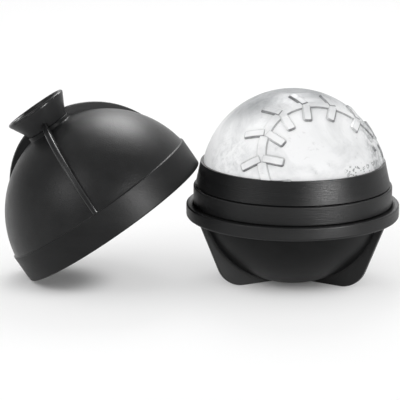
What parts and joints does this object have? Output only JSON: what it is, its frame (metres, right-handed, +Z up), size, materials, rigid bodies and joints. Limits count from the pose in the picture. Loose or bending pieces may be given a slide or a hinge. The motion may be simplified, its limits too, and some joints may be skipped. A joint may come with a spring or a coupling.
{
  "type": "ice ball mold",
  "caption": "Ice ball mould taken apart: a footed bowl with a soft liner holds a stitched ball of ice, and a ribbed dome lid with a filling funnel leans beside it.",
  "frame": {"origin": "on the table under the centre of the base, at the middle of the bowl's flat underside", "axes": "+Z up along the base's axis, +X to the right as the object is seen from the front, with the lid leaning on the -X side, -Y to the front"},
  "size_m": [0.1335, 0.0725, 0.0653],
  "materials": {
    "black_plastic": "satin moulded",
    "black_silicone": "smooth, soft sheen",
    "clear_ice": "clear ice, slightly cloudy, wet gloss"
  },
  "bodies": {
    "base": {"base_shell": "black_plastic", "base_liner": "black_silicone", "seal_ring": "black_silicone"},
    "lid": {"lid_shell": "black_plastic", "lid_liner": "black_silicone", "fill_funnel": "black_plastic"},
    "ice": {"ice_ball": "clear_ice"}
  },
  "joints": [
    {"name": "lid_lift", "type": "slide", "parent": "base", "child": "lid", "axis": [0, 0, 1], "range_m": [0, 0.09]},
    {"name": "ice_lift", "type": "slide", "parent": "base", "child": "ice", "axis": [0, 0, 1], "range_m": [0, 0.075], "deforming": ["base_liner"]}
  ]
}
